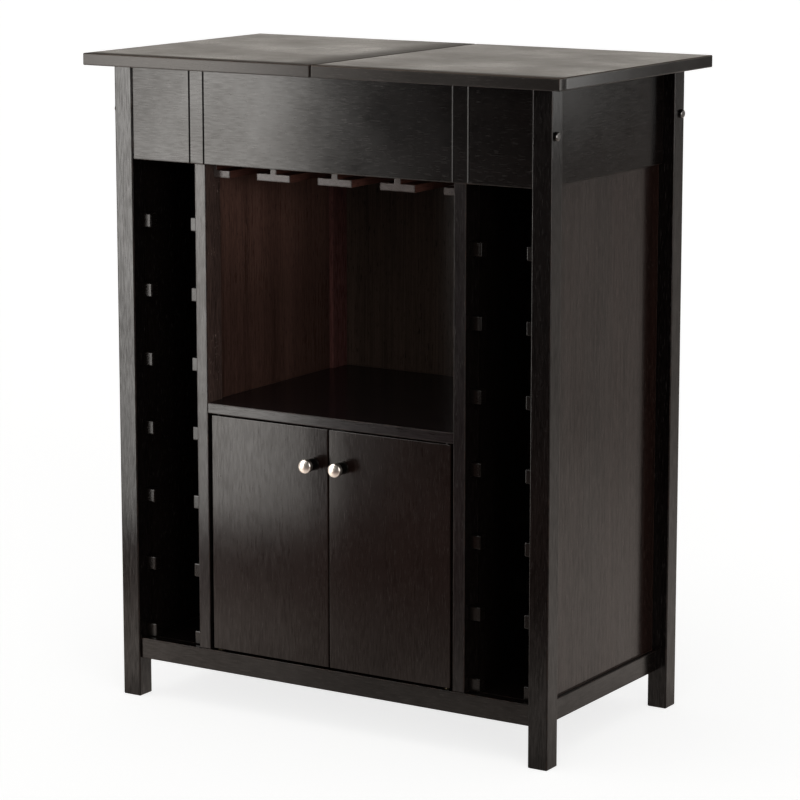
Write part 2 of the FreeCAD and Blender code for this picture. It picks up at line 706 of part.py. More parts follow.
for side_name, side in sides:
    door_name = f"{side_name}_door"
    slab = board(door_name + "_slab", span(side, door_meeting, door_outer), (door_face, door_back),
                 (door_bottom, door_top), "Sizes.doorEase")
    axis_x = on_side(side, pivot_x)
    door_holes = [
        drill(door_name + "_top_pin_hole", pin_hole, "Sizes.pinSeat", "-z", axis_x, pivot_y, door_top),
        drill(door_name + "_bottom_pin_hole", pin_hole, "Sizes.pinSeat", "+z", axis_x, pivot_y, door_bottom),
        drill(door_name + "_screw_hole", screw_hole, "Sizes.doorThickness + Sizes.overrun", "-y",
              on_side(side, knob_x), door_back, knob_z),
    ]
    finished(door_name, cut(door_name, slab, door_holes))
    pins = [
        rod(f"{side_name}_top_pin", "Sizes.pinDiameter", top_pin_length, "+z",
            axis_x, pivot_y, f"{door_top} - Sizes.pinSeat"),
        rod(f"{side_name}_bottom_pin", "Sizes.pinDiameter", bottom_pin_length, "-z",
            axis_x, pivot_y, f"{door_bottom} + Sizes.pinSeat"),
    ]
    finished(f"{side_name}_pivot_pins", group(f"{side_name}_pivot_pins", pins))
    bushes.append(aim(turned(f"{side_name}_top_bush", bush_outline), "+z", axis_x, pivot_y, shelf_underside))
    bushes.append(aim(turned(f"{side_name}_bottom_bush", bush_outline), "-z", axis_x, pivot_y, floor_top))
    knob = turned(f"{side_name}_knob", knob_outline)
    round_edges(knob, "Sizes.knobBaseEase", rim(knob, sheet.knobBaseThickness))
    doc.recompute()
    round_edges(knob, "Sizes.knobHeadEase", rim(knob, sheet.knobNeckLength))
    doc.recompute()
    round_edges(knob, "Sizes.knobDome", rim(knob, knob.Shape.BoundBox.ZMax))
    finished(f"{side_name}_knob", aim(knob, "-y", on_side(side, knob_x), door_face, knob_z))
    screw = turned(f"{side_name}_knob_screw", screw_outline("Sizes.doorThickness + Sizes.knobScrewGrip"))
    finished(f"{side_name}_knob_screw", aim(screw, "-y", on_side(side, knob_x), door_back, knob_z))
    plate_x = span(side, f"({door_meeting} + Sizes.strikeInset)",
                   f"({door_meeting} + Sizes.strikeInset + Sizes.strikeWidth)")
    plate = board(f"{side_name}_strike_plate", plate_x, (door_back, f"{door_back} + Sizes.strikeThickness"),
                  (f"{door_top} - Sizes.strikeHeight", door_top))
    finished(f"{side_name}_strike_plate", plate)
finished("pivot_bushes", group("pivot_bushes", bushes))

# Magnetic catch under the shelf, just behind the strike plates
catch_front = f"({door_back} + Sizes.strikeThickness + Sizes.catchGap)"
finished("magnetic_catch", board("magnetic_catch", ("-Sizes.catchWidth / 2", "Sizes.catchWidth / 2"),
                                 (catch_front, f"{catch_front} + Sizes.catchDepth"),
                                 (f"{shelf_underside} - Sizes.catchHeight", shelf_underside)))

# Check every feature and every finished shape, then write one file for each node
doc.recompute()
for item in doc.Objects:
    if "Invalid" in item.State or "Error" in item.State:
        raise RuntimeError(f"{item.Label} failed: {item.State}")
for label, piece in nodes.items():
    if piece.Shape.isNull() or not piece.Shape.isValid() or not piece.Shape.Solids:
        raise RuntimeError(f"{label} has no sound solid")
os.makedirs("parts", exist_ok=True)
for label, piece in nodes.items():
    piece.Shape.exportStep(f"parts/{label}.step")
print(f"{len(nodes)} nodes written")
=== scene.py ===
import json
import math

import bmesh
import bpy
from mathutils import Matrix, Vector


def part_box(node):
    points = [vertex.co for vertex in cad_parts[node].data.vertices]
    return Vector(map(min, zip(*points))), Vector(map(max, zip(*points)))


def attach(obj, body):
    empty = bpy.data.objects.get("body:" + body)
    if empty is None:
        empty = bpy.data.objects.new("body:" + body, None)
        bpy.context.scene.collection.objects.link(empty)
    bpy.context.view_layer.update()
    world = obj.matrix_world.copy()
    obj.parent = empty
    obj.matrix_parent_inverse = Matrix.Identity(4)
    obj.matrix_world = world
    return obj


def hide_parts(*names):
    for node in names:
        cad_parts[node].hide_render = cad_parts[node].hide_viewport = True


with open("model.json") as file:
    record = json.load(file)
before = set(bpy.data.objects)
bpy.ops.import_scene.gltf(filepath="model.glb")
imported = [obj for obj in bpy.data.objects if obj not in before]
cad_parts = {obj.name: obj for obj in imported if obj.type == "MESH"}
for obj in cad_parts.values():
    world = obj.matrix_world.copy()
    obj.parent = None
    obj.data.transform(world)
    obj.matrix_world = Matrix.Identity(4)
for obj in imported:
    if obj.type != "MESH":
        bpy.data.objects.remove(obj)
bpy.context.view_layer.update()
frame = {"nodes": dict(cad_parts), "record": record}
nodes = frame["nodes"]
scene = bpy.context.scene
scene.view_settings.view_transform = "Standard"
print("frame loaded:", len(nodes), "nodes")


# Node helpers: each returns the output socket of the node that it adds

def feed(tree, socket, value):
    if isinstance(value, bpy.types.NodeSocket):
        tree.links.new(value, socket)
    elif value is not None:
        socket.default_value = value


def addMath(tree, operation, first, second=None, third=None):
    node = tree.nodes.new("ShaderNodeMath")
    node.operation = operation
    for socket, value in zip(node.inputs, (first, second, third)):
        feed(tree, socket, value)
    return node.outputs[0]


def addVectorMath(tree, operation, first, second=None):
    node = tree.nodes.new("ShaderNodeVectorMath")
    node.operation = operation
    feed(tree, node.inputs[0], first)
    feed(tree, node.inputs[1], second)
    return node.outputs["Value" if operation == "LENGTH" else "Vector"]


def addNoise(tree, vector, scale, detail, roughness):
    node = tree.nodes.new("ShaderNodeTexNoise")
    feed(tree, node.inputs["Vector"], vector)
    feed(tree, node.inputs["Scale"], scale)
    node.inputs["Detail"].default_value = detail
    node.inputs["Roughness"].default_value = roughness
    return node.outputs["Fac"]


def addStretched(tree, vector, stretch, detail, roughness):
    return addNoise(tree, addVectorMath(tree, "MULTIPLY", vector, stretch), 1.0, detail, roughness)


def addRange(tree, value, low, high, toLow=0.0, toHigh=1.0):
    node = tree.nodes.new("ShaderNodeMapRange")
    node.interpolation_type = "SMOOTHSTEP"
    for socket, item in zip(node.inputs, (value, low, high, toLow, toHigh)):
        feed(tree, socket, item)
    return node.outputs["Result"]


def addMix(tree, factor, first, second):
    node = tree.nodes.new("ShaderNodeMix")
    node.data_type = "RGBA"
    feed(tree, node.inputs["Factor"], factor)
    feed(tree, node.inputs["A"], first)
    feed(tree, node.inputs["B"], second)
    return node.outputs["Result"]


def addBump(tree, height, distance, normal=None):
    node = tree.nodes.new("ShaderNodeBump")
    feed(tree, node.inputs["Height"], height)
    node.inputs["Distance"].default_value = distance
    feed(tree, node.inputs["Normal"], normal)
    return node.outputs["Normal"]


def addSplit(tree, vector):
    node = tree.nodes.new("ShaderNodeSeparateXYZ")
    feed(tree, node.inputs[0], vector)
    return node.outputs


def newGroup(name, inputs, outputs):
    group = bpy.data.node_groups.new(name, "ShaderNodeTree")
    for direction, rows in (("INPUT", inputs), ("OUTPUT", outputs)):
        for label, socketType in rows:
            group.interface.new_socket(name=label, in_out=direction, socket_type=socketType)
    start = group.nodes.new("NodeGroupInput")
    end = group.nodes.new("NodeGroupOutput")
    return group, start.outputs, end.inputs


def useGroup(tree, group, values):
    node = tree.nodes.new("ShaderNodeGroup")
    node.node_tree = group
    for label, value in values.items():
        feed(tree, node.inputs[label], value)
    return node.outputs


def newMaterial(name):
    material = bpy.data.materials.new(name)
    material.use_nodes = True
    tree = material.node_tree
    return material, tree, tree.nodes["Principled BSDF"].inputs


def objectPlace(tree, turn=(0, 0, 0), shift=(0, 0, 0)):
    place = tree.nodes.new("ShaderNodeTexCoord")
    mapping = tree.nodes.new("ShaderNodeMapping")
    mapping.inputs["Location"].default_value = shift
    mapping.inputs["Rotation"].default_value = turn
    tree.links.new(place.outputs["Object"], mapping.inputs["Vector"])
    return mapping.outputs["Vector"]


floatSocket, vectorSocket = "NodeSocketFloat", "NodeSocketVector"


# Wood figure: the grain runs along Z of the vector that comes in.
# Each noise is given as its stretch across and along the grain, its detail and its roughness.

woodLook = {
    "wander": 0.004,
    "drift": ((4.0, 4.0, 1.4), 1.0, 0.5),
    "figure": ((19.0, 19.0, 0.9), 4.0, 0.55),
    "band": ((420.0, 420.0, 5.0), 2.0, 0.6),
    "hairline": ((680.0, 680.0, 48.0), 2.0, 0.6),
    "pore": ((950.0, 950.0, 75.0), 1.0, 0.5),
    "figureRange": (0.28, 0.72),
    "fibreRange": (0.32, 0.68),
    "poreLevel": 0.72,  # noise above this is a pore, and a full pore share lowers it by poreDrop
    "poreDrop": 0.22,
    "poreFade": 0.08,
}


def makeWoodFigure():
    look = woodLook
    group, given, result = newGroup(
        "woodFigure",
        [("Vector", vectorSocket), ("Pore Share", floatSocket), ("Band Share", floatSocket)],
        [("Figure", floatSocket), ("Fibre", floatSocket), ("Pores", floatSocket)],
    )
    slow = addStretched(group, given["Vector"], *look["drift"])
    drift = addMath(group, "MULTIPLY_ADD", slow, look["wander"], -look["wander"] / 2)
    bent = addVectorMath(group, "ADD", given["Vector"], drift)
    figure = addStretched(group, bent, *look["figure"])
    band = addStretched(group, bent, *look["band"])
    hairline = addStretched(group, bent, *look["hairline"])
    change = addMath(group, "SUBTRACT", band, hairline)
    fibre = addMath(group, "MULTIPLY_ADD", change, given["Band Share"], hairline)
    pore = addStretched(group, bent, *look["pore"])
    poreStart = addMath(group, "MULTIPLY_ADD", given["Pore Share"], -look["poreDrop"], look["poreLevel"])
    poreEnd = addMath(group, "ADD", poreStart, look["poreFade"])
    feed(group, result["Figure"], addRange(group, figure, *look["figureRange"]))
    feed(group, result["Fibre"], addRange(group, fibre, *look["fibreRange"]))
    feed(group, result["Pores"], addRange(group, pore, poreStart, poreEnd))
    return group


# Lacquer film: slow clouds of gloss, and a fine orange peel, each with its detail and roughness

filmLook = {"clouds": (5.0, 0.6), "cloudRange": (0.3, 0.7), "peel": (1.0, 0.5)}


def makeLacquerFilm():
    group, given, result = newGroup(
        "lacquerFilm",
        [("Vector", vectorSocket), ("Cloud Scale", floatSocket), ("Peel Scale", floatSocket)],
        [("Clouds", floatSocket), ("Peel", floatSocket)],
    )
    clouds = addNoise(group, given["Vector"], given["Cloud Scale"], *filmLook["clouds"])
    feed(group, result["Clouds"], addRange(group, clouds, *filmLook["cloudRange"]))
    feed(group, result["Peel"], addNoise(group, given["Vector"], given["Peel Scale"], *filmLook["peel"]))
    return group


# Board edges: where a point is close to two faces of its board. Wear is broken up as by handling,
# and Edge is whole and reaches a little further. The patches have a scale, a detail and a roughness.

edgeLook = {"patches": (55.0, 4.0, 0.65), "patchRange": (0.40, 0.70), "edgeReach": 1.4}


def makeWornEdges():
    group, given, result = newGroup(
        "wornEdges",
        [("Vector", vectorSocket), ("Low", vectorSocket), ("High", vectorSocket), ("Width", floatSocket)],
        [("Wear", floatSocket), ("Edge", floatSocket)],
    )
    fromLow = addVectorMath(group, "SUBTRACT", given["Vector"], given["Low"])
    fromHigh = addVectorMath(group, "SUBTRACT", given["High"], given["Vector"])
    x, y, z = addSplit(group, addVectorMath(group, "MINIMUM", fromLow, fromHigh))
    nearer = addMath(group, "MINIMUM", x, y)
    farther = addMath(group, "MAXIMUM", x, y)
    second = addMath(group, "MAXIMUM", nearer, addMath(group, "MINIMUM", farther, z))
    close = addRange(group, second, given["Width"], 0.0)
    patches = addNoise(group, given["Vector"], *edgeLook["patches"])
    broken = addRange(group, patches, *edgeLook["patchRange"])
    feed(group, result["Wear"], addMath(group, "MULTIPLY", close, broken))
    reach = addMath(group, "MULTIPLY", given["Width"], edgeLook["edgeReach"])
    feed(group, result["Edge"], addRange(group, second, reach, 0.0))
    return group


# Wear flecks: short pale marks along the grain, gathered in patches

fleckLook = {"marks": ((520.0, 520.0, 190.0), 2.0, 0.6), "markRange": (0.64, 0.72),
             "patches": (26.0, 2.0, 0.5), "patchRange": (0.45, 0.62)}


def makeWearFlecks():
    group, given, result = newGroup("wearFlecks", [("Vector", vectorSocket)], [("Flecks", floatSocket)])
    fine = addStretched(group, given["Vector"], *fleckLook["marks"])
    marks = addRange(group, fine, *fleckLook["markRange"])
    patches = addNoise(group, given["Vector"], *fleckLook["patches"])
    gathered = addRange(group, patches, *fleckLook["patchRange"])
    feed(group, result["Flecks"], addMath(group, "MULTIPLY", marks, gathered))
    return group


# Rolled edge: the height of a face that rolls away over a short reach towards one edge

def makeRolledEdge():
    group, given, result = newGroup(
        "rolledEdge",
        [("Distance", floatSocket), ("Reach", floatSocket), ("Radius", floatSocket)],
        [("Height", floatSocket)],
    )
    inside = addMath(group, "MAXIMUM", addMath(group, "SUBTRACT", given["Reach"], given["Distance"]), 0.0)
    fall = addMath(group, "MULTIPLY", addMath(group, "MULTIPLY", inside, inside), -0.5)
    feed(group, result["Height"], addMath(group, "DIVIDE", fall, given["Radius"]))
    return group


woodFigure = makeWoodFigure()
lacquerFilm = makeLacquerFilm()
wornEdges = makeWornEdges()
wearFlecks = makeWearFlecks()
rolledEdge = makeRolledEdge()
print("shared node groups made")


# Wood finishes. Colours are linear: dark and light ends of the grain, and what fills the pores.
# A finish may also set the lacquer's own gloss, sheen, bands or fibre.

finishes = {
    "frame": {"dark": (0.0012, 0.0009, 0.0008, 1), "light": (0.0058, 0.0040, 0.0036, 1),
              "pore": (0.0150, 0.0130, 0.0122, 1), "rough": 0.165, "clouds": 0.05, "streaks": 0.03},
    "apronSide": {"dark": (0.0016, 0.0011, 0.0010, 1), "light": (0.0070, 0.0046, 0.0040, 1),
                  "pore": (0.0150, 0.0126, 0.0118, 1), "rough": 0.17, "clouds": 0.05, "streaks": 0.03,
                  "gloss": 0.05, "sheen": 0.22},
    "leafEnd": {"dark": (0.0020, 0.0016, 0.0014, 1), "light": (0.0065, 0.0052, 0.0046, 1),
                "pore": (0.0150, 0.0130, 0.0122, 1), "rough": 0.13, "clouds": 0.05, "streaks": 0.04},
    "leg": {"dark": (0.0010, 0.0008, 0.0008, 1), "light": (0.0055, 0.0039, 0.0036, 1),
            "pore": (0.0150, 0.0132, 0.0128, 1), "rough": 0.165, "clouds": 0.05, "streaks": 0.04,
            "gloss": 0.055, "sheen": 0.42, "bands": 0.15, "fibre": 0.70},
    "door": {"dark": (0.0052, 0.0026, 0.0021, 1), "light": (0.0092, 0.0046, 0.0036, 1),
             "pore": (0.0210, 0.0160, 0.0145, 1), "rough": 0.15, "clouds": 0.03, "streaks": 0.03,
             "gloss": 0.068, "sheen": 0.30, "bands": 0.15, "fibre": 0.70},
    "leafEdge": {"dark": (0.0030, 0.0021, 0.0018, 1), "light": (0.0075, 0.0050, 0.0042, 1),
                 "pore": (0.0200, 0.0170, 0.0160, 1), "rough": 0.29, "clouds": 0.06, "streaks": 0.04,
                 "gloss": 0.14, "sheen": 0.10},
    "top": {"dark": (0.0090, 0.0060, 0.0040, 1), "light": (0.0620, 0.0425, 0.0300, 1),
            "pore": (0.0060, 0.0044, 0.0034, 1), "rough": 0.28, "clouds": 0.10, "streaks": 0.08},
    # topShadedMargin: the top painted darker and rougher, painted shade along the left leaf's front and
    # seam
    "topShadedMargin": {"dark": (0.0065, 0.0044, 0.0031, 1), "light": (0.0400, 0.0268, 0.0194, 1),
                "pore": (0.0050, 0.0037, 0.0029, 1), "rough": 0.50, "clouds": 0.10, "streaks": 0.08},
    "veneer": {"dark": (0.0030, 0.0017, 0.0014, 1), "light": (0.0190, 0.0085, 0.0066, 1),
               "pore": (0.0300, 0.0200, 0.0175, 1), "rough": 0.15, "clouds": 0.03, "streaks": 0.03,
               "bands": 0.40, "fibre": 0.80},
    "bay": {"dark": (0.0185, 0.0092, 0.0072, 1), "light": (0.0700, 0.0371, 0.0294, 1),
            "pore": (0.0120, 0.0062, 0.0050, 1), "rough": 0.28, "clouds": 0.06, "streaks": 0.05,
            "bands": 0.45},
    # bayLitTop: the upper part of the bay's walls, painted paler to stand in for the brighter light that
    # falls there
    "bayLitTop": {"dark": (0.0420, 0.0210, 0.0165, 1), "light": (0.1500, 0.0795, 0.0630, 1),
                "pore": (0.0200, 0.0103, 0.0083, 1), "rough": 0.28, "clouds": 0.06, "streaks": 0.05},
    # shelf: lighter and purple-tinted, a painted reflection of the walls beside it on the shelf's own dark
    # colour
    "shelf": {"dark": (0.0022, 0.0016, 0.0016, 1), "light": (0.0170, 0.0125, 0.0140, 1),
              "pore": (0.0150, 0.0130, 0.0122, 1), "rough": 0.165, "clouds": 0.05, "streaks": 0.03},
    "stileFront": {"dark": (0.0040, 0.0032, 0.0032, 1), "light": (0.0170, 0.0138, 0.0142, 1),
                   "pore": (0.0320, 0.0285, 0.0280, 1), "rough": 0.165, "clouds": 0.05, "streaks": 0.04},
    "bayEdge": {"dark": (0.0300, 0.0120, 0.0110, 1), "light": (0.1150, 0.0480, 0.0440, 1),
                "pore": (0.0120, 0.0058, 0.0052, 1), "rough": 0.28, "clouds": 0.06, "streaks": 0.05},
    "back": {"dark": (0.0140, 0.0096, 0.0076, 1), "light": (0.0460, 0.0310, 0.0240, 1),
             "pore": (0.0034, 0.0023, 0.0019, 1), "rough": 0.28, "clouds": 0.06, "streaks": 0.05,
             "bands": 0.70},
    "stileSide": {"dark": (0.0220, 0.0140, 0.0120, 1), "light": (0.0950, 0.0600, 0.0520, 1),
                  "pore": (0.0060, 0.0042, 0.0038, 1), "rough": 0.34, "clouds": 0.08, "streaks": 0.05,
                  "sheen": 0.29, "fibre": 0.70},
    # rail: the rails' own reddish colour, raised further as painted light standing in for light bounced up
    # from the floor
    "rail": {"dark": (0.0450, 0.0180, 0.0135, 1), "light": (0.1050, 0.0440, 0.0340, 1),
             "pore": (0.0220, 0.0100, 0.0080, 1), "rough": 0.36, "clouds": 0.10, "streaks": 0.05},
    "railEnd": {"dark": (0.0330, 0.0255, 0.0240, 1), "light": (0.0850, 0.0680, 0.0640, 1),
                "pore": (0.0200, 0.0155, 0.0140, 1), "rough": 0.46, "clouds": 0.10, "streaks": 0.05},
    "block": {"dark": (0.0018, 0.0013, 0.0011, 1), "light": (0.0052, 0.0038, 0.0033, 1),
              "pore": (0.0018, 0.0013, 0.0011, 1), "rough": 0.26, "clouds": 0.08, "streaks": 0.04},
}
lacquer = {
    "gloss": 0.075,
    "tint": (1.0, 0.94, 0.88, 1),
    "sheen": 0.34,
    "sheenFloor": 0.25,
    "sheenRough": 0.205,
    "bands": 0.1,
    "fibre": 0.50,
    "figureShare": 0.40,
    "fibreRelief": 0.4,
    "poreShare": 0.38,
    "poreRough": 0.05,
    "poreDepth": 0.000004,
    "cloudScale": 6.5,
    "peelScale": 260.0,
    "peelDepth": 0.000005,
    "edgeWidth": 0.0018,
    "edgeRough": 0.32,
    "edgeThin": 0.80,
    "edgeColour": (0.0300, 0.0170, 0.0125, 1),
    "fleckColour": (0.2200, 0.1700, 0.1500, 1),
}

quarterTurn = math.pi / 2
grainTurns = {"x": (0, -quarterTurn, 0), "y": (quarterTurn, 0, 0), "z": (0, 0, 0)}
grainSteps = (0.37, 0.61, 0.23)  # from one board's grain to the next, so that no two are alike


def finishLook(tree, finish, wood, film):
    look = finishes[finish]
    figured = addMath(tree, "MULTIPLY", wood["Figure"], lacquer["figureShare"])
    tone = addMath(tree, "MULTIPLY_ADD", wood["Fibre"], 1 - lacquer["figureShare"], figured)
    colour = addMix(tree, wood["Pores"], addMix(tree, tone, look["dark"], look["light"]), look["pore"])
    smoothest = look["rough"] - look["clouds"] / 2
    cloudy = addMath(tree, "MULTIPLY_ADD", film["Clouds"], look["clouds"], smoothest)
    return colour, addMath(tree, "MULTIPLY_ADD", wood["Fibre"], look["streaks"], cloudy)


def axisPlace(tree, axis, mirrored):
    value = addSplit(tree, objectPlace(tree))[axis]
    return addMath(tree, "ABSOLUTE", value) if mirrored else value


def zoneMask(tree, zone):
    value = axisPlace(tree, zone["axis"], zone["mirrored"])
    mask = addRange(tree, value, zone["start"], zone["end"])
    if "within" in zone:
        mask = addMath(tree, "MULTIPLY", mask, zoneMask(tree, zone["within"]))
    return mask


def rollHeight(tree, roll):
    value = axisPlace(tree, roll["axis"], roll["mirrored"])
    distance = addMath(tree, "SUBTRACT", value, roll["edge"])
    values = {"Distance": distance, "Reach": roll["reach"], "Radius": roll["radius"]}
    return useGroup(tree, rolledEdge, values)["Height"]


def coatWeight(tree, look, wood, film):
    fibrous = addMath(tree, "MULTIPLY", wood["Fibre"], look["fibre"])
    mottle = addMath(tree, "MULTIPLY_ADD", film["Clouds"], 1 - look["fibre"], fibrous)
    least = look["sheen"] * look["sheenFloor"]
    return addMath(tree, "MULTIPLY_ADD", mottle, look["sheen"] - least, least)


def woodRelief(tree, look, wood, film, roll):
    raised = addMath(tree, "MULTIPLY", wood["Fibre"], look["fibreRelief"])
    sunk = addMath(tree, "MULTIPLY_ADD", wood["Pores"], -1.0, raised)
    normal = addBump(tree, sunk, look["poreDepth"])
    normal = addBump(tree, film["Peel"], look["peelDepth"], normal)
    if roll:
        normal = addBump(tree, rollHeight(tree, roll), 1.0, normal)
    return normal


def makeWood(node, number, finish, grain, zones=(), flecked=False, worn=True, roll=None):
    material, tree, surface = newMaterial(node + "_wood")
    look = {**lacquer, **finishes[finish]}
    grainPlace = objectPlace(tree, grainTurns[grain], [step * number for step in grainSteps])
    wood = useGroup(tree, woodFigure, {"Vector": grainPlace, "Pore Share": look["poreShare"],
                                       "Band Share": look["bands"]})
    film = useGroup(tree, lacquerFilm, {"Vector": grainPlace, "Cloud Scale": look["cloudScale"],
                                        "Peel Scale": look["peelScale"]})
    colour, rough = finishLook(tree, finish, wood, film)
    coat = coatWeight(tree, look, wood, film)
    if flecked:
        flecks = useGroup(tree, wearFlecks, {"Vector": grainPlace})["Flecks"]
        colour = addMix(tree, flecks, colour, look["fleckColour"])
    for zone in zones:
        mask = zoneMask(tree, zone)
        zoneColour, zoneRough = finishLook(tree, zone["finish"], wood, film)
        colour = addMix(tree, mask, colour, zoneColour)
        change = addMath(tree, "SUBTRACT", zoneRough, rough)
        rough = addMath(tree, "MULTIPLY_ADD", mask, change, rough)
    if worn:
        low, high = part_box(node)
        edges = useGroup(tree, wornEdges, {"Vector": objectPlace(tree), "Low": low, "High": high,
                                           "Width": look["edgeWidth"]})
        colour = addMix(tree, edges["Wear"], colour, look["edgeColour"])
        rough = addMath(tree, "MULTIPLY_ADD", edges["Edge"], look["edgeRough"], rough)
        thinned = addMath(tree, "MULTIPLY_ADD", edges["Edge"], -look["edgeThin"], 1.0)
        coat = addMath(tree, "MULTIPLY", coat, thinned)
    rough = addMath(tree, "MULTIPLY_ADD", wood["Pores"], look["poreRough"], rough)
    feed(tree, surface["Base Color"], colour)
    feed(tree, surface["Roughness"], rough)
    surface["Specular IOR Level"].default_value = look["gloss"]
    surface["Specular Tint"].default_value = look["tint"]
    feed(tree, surface["Coat Weight"], coat)
    surface["Coat Roughness"].default_value = look["sheenRough"]
    feed(tree, surface["Normal"], woodRelief(tree, look, wood, film, roll))
    return material


def dress(node, material):
    mesh = nodes[node].data
    mesh.materials.clear()
    mesh.materials.append(material)


# Zones: a board's second finish starts at a plane, and fades in over a hair unless a step is given

hair = 0.0004
skin = 3 * hair  # how deep a face's own finish goes
leafShadedMargins = {"front": 0.014, "frontFade": 0.016, "seam": 0.034, "seamFade": 0.040}  # how far the left leaf's top is painted darker along its front and its seam: painted shade
bayLitFade = {"drop": 0.13, "step": 0.11}  # how far below their top the bay's walls are painted paler: painted light, brighter towards the top


def beyond(axis, plane, finish, mirrored=False, step=hair):
    return {"axis": axis, "mirrored": mirrored, "start": plane - step, "end": plane + step,
            "finish": finish}


# Rolls: sanding lets a door's face fall away to its meeting edge, and a leaf's to its front

doorRoll = {"axis": "X", "mirrored": True, "edge": 0.0, "reach": 0.040, "radius": 0.95}
leafRoll = {"axis": "Y", "mirrored": False, "reach": 0.024, "radius": 0.06}


def woodChoice(node):
    low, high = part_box(node)
    middle = abs(low.x + high.x) / 2
    if node.endswith("_top_leaf"):
        end = max(abs(low.x), abs(high.x)) - skin
        top = beyond("Z", high.z - skin, "top")
        zones = [beyond("X", end, "leafEnd", True), top]
        # On the left leaf the top's margins along the front and the seam are painted darker: painted shade
        if node.startswith("left"):
            front = beyond("Y", low.y + leafShadedMargins["front"], "topShadedMargin", step=-leafShadedMargins["frontFade"])
            seam = beyond("X", high.x - leafShadedMargins["seam"], "topShadedMargin", step=leafShadedMargins["seamFade"])
            zones += [{**front, "within": top}, {**seam, "within": top}]
        return {"finish": "leafEdge", "grain": "x", "zones": zones, "roll": {**leafRoll, "edge": low.y}}
    if node.endswith("_door"):
        return {"finish": "door", "grain": "z", "roll": doorRoll, "worn": False}
    if node.endswith("_side_panel"):
        return {"finish": "veneer", "grain": "z", "zones": [beyond("X", middle, "frame", True, -hair)]}
    if node == "back_panel":
        return {"finish": "back", "grain": "z"}
    if node.endswith("_divider_panel"):
        # The walls' upper part is painted paler: painted light, brighter towards the top
        paler = beyond("Z", high.z - bayLitFade["drop"], "bayLitTop", step=bayLitFade["step"])
        outer = beyond("X", middle, "frame", True)
        return {"finish": "bay", "grain": "z", "zones": [paler, outer], "worn": False}
    if node.endswith("_rear_stile"):
        return {"finish": "bayEdge", "grain": "z", "zones": [beyond("X", middle, "frame", True)]}
    if node.endswith("_front_stile"):
        inner = min(abs(low.x), abs(high.x)) + skin
        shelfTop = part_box("display_shelf")[1].z
        # Below the shelf top the stile's inner side takes the dark frame finish: painted shade beside the
        # door
        zones = [beyond("Z", shelfTop, "frame", step=-hair), beyond("X", inner, "frame", True),
                 beyond("Y", low.y + skin, "stileFront", step=-hair)]
        return {"finish": "stileSide", "grain": "z", "zones": zones, "flecked": True}
    if node.endswith("_stemware_rail"):
        end = beyond("Y", low.y + skin, "railEnd", step=-hair)
        return {"finish": "rail", "grain": "y", "zones": [end]}
    if node.endswith("_blocks"):
        return {"finish": "block", "grain": "y", "worn": False}
    if node.endswith("_leg"):
        return {"finish": "leg", "grain": "z"}
    if node.endswith("_side_apron"):
        return {"finish": "apronSide", "grain": "y"}
    if node == "display_shelf":
        return {"finish": "shelf", "grain": "x"}
    if node in ("left_bottom_rail", "right_bottom_rail"):
        return {"finish": "frame", "grain": "y"}
    return {"finish": "frame", "grain": "x"}


metalSlots = ("satin_nickel", "black_hardware", "zinc_steel", "bush_brass")
slotOf = {row["node"]: row["material_slot"] for row in frame["record"]["subparts"]}
woodNodes = [node for node in sorted(nodes) if slotOf[node] not in metalSlots]
for number, node in enumerate(woodNodes):
    dress(node, makeWood(node, number, **woodChoice(node)))
print("wood finishes:", len(woodNodes), "boards")


# Metals: each clouds over between two colours. A knob's neck is painted darker than its head: painted
# shade, standing in for the dark it mirrors between the head and the door

metals = {
    "satin_nickel": {"colour": (0.50, 0.455, 0.41, 1), "worn": (0.60, 0.555, 0.51, 1), "rough": 0.36,
                     # neck: near black, painted shade on the knob's neck
                     "neck": (0.020, 0.018, 0.017, 1)},
    "black_hardware": {"colour": (0.040, 0.038, 0.037, 1), "worn": (0.075, 0.071, 0.068, 1), "rough": 0.22},
    "zinc_steel": {"colour": (0.52, 0.52, 0.50, 1), "worn": (0.66, 0.66, 0.64, 1), "rough": 0.34},
    "bush_brass": {"colour": (0.60, 0.43, 0.18, 1), "worn": (0.72, 0.56, 0.28, 1), "rough": 0.30},
}
metalFilm = {"Cloud Scale": 90.0, "Peel Scale": 1800.0}
metalSpread, metalPeel = 0.08, 0.000005  # spread of roughness, and depth of the peel


def makeMetal(slot, name=None, shadedFrom=None):
    look = metals[slot]
    material, tree, surface = newMaterial(name or slot)
    film = useGroup(tree, lacquerFilm, {"Vector": objectPlace(tree), **metalFilm})
    colour = addMix(tree, film["Clouds"], look["colour"], look["worn"])
    if shadedFrom is not None:
        # painted shade: from shadedFrom to the door the neck takes the near-black neck colour
        colour = addMix(tree, zoneMask(tree, beyond("Y", shadedFrom, None)), colour, look["neck"])
    smoothest = look["rough"] - metalSpread / 2
    feed(tree, surface["Base Color"], colour)
    feed(tree, surface["Roughness"], addMath(tree, "MULTIPLY_ADD", film["Clouds"], metalSpread, smoothest))
    surface["Metallic"].default_value = 1.0
    feed(tree, surface["Normal"], addBump(tree, film["Peel"], metalPeel))
    return material


metalMaterials = {slot: makeMetal(slot) for slot in metalSlots}
for node, slot in slotOf.items():
    if slot in metalSlots:
        dress(node, metalMaterials[slot])
print("metal finishes:", len(metalMaterials))


# Turned pieces: a half outline of radius and height, spun about Z

mergeReach = 1e-6


def addArc(points, centre, radius, start, end, steps):
    for step in range(1, steps + 1):
        angle = math.radians(start + (end - start) * step / steps)
        points.append((centre[0] + radius * math.cos(angle), centre[1] + radius * math.sin(angle)))


